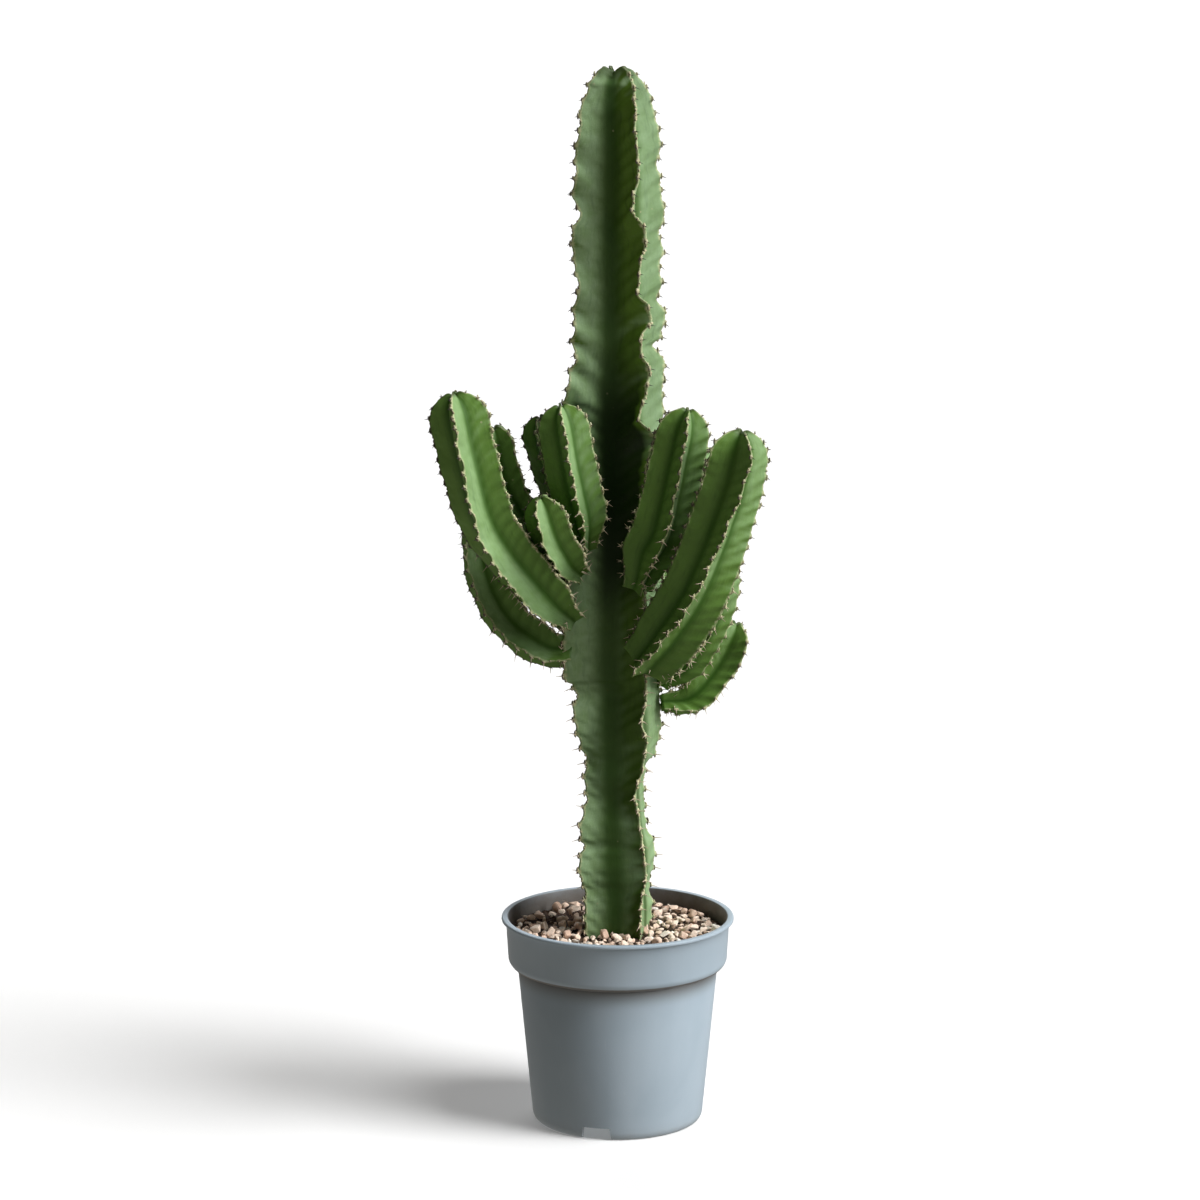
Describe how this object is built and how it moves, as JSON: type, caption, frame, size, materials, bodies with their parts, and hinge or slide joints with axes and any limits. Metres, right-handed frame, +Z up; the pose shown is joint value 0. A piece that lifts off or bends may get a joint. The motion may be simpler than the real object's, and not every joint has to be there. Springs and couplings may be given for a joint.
{
  "type": "potted euphorbia",
  "caption": "Tall ribbed candelabra succulent with upright spiny side branches, rooted in gravel-topped soil in a round tapered nursery pot.",
  "frame": {"origin": "centre of the pot's underside, on the surface that the pot stands on", "axes": "+Z up along the stem, -Y towards the front of the plant, +X to the right as seen from the front"},
  "size_m": [0.2351, 0.1894, 0.768],
  "materials": {
    "pot_plastic": "satin",
    "potting_soil": "matte",
    "stem_skin": "satin",
    "branch_skin": "satin",
    "pebble": "matte"
  },
  "bodies": {
    "root": {"pot": "pot_plastic", "soil": "potting_soil", "main_stem": "stem_skin", "branch_left_front": "branch_skin", "branch_left_low": "branch_skin", "branch_left_small": "branch_skin", "branch_left_inner": "branch_skin", "branch_left_shaded": "branch_skin", "branch_left_back": "branch_skin", "branch_right_inner": "branch_skin", "branch_right_front": "branch_skin", "branch_right_mid": "branch_skin", "branch_right_low": "branch_skin", "branch_right_back": "branch_skin", "branch_back_low": "branch_skin", "branch_back_high": "branch_skin", "pebble_01": "pebble", "pebble_02": "pebble", "pebble_03": "pebble", "pebble_04": "pebble", "pebble_05": "pebble", "pebble_06": "pebble", "pebble_07": "pebble", "pebble_08": "pebble", "pebble_09": "pebble", "pebble_10": "pebble", "pebble_11": "pebble", "pebble_12": "pebble", "pebble_13": "pebble", "pebble_14": "pebble", "pebble_15": "pebble", "pebble_16": "pebble", "pebble_17": "pebble", "pebble_18": "pebble", "pebble_19": "pebble", "pebble_20": "pebble", "pebble_21": "pebble", "pebble_22": "pebble", "pebble_23": "pebble", "pebble_24": "pebble", "pebble_25": "pebble", "pebble_26": "pebble", "pebble_27": "pebble", "pebble_28": "pebble", "pebble_29": "pebble", "pebble_30": "pebble", "pebble_31": "pebble", "pebble_32": "pebble", "pebble_33": "pebble", "pebble_34": "pebble", "pebble_35": "pebble", "pebble_36": "pebble", "pebble_37": "pebble", "pebble_38": "pebble"}
  },
  "joints": []
}
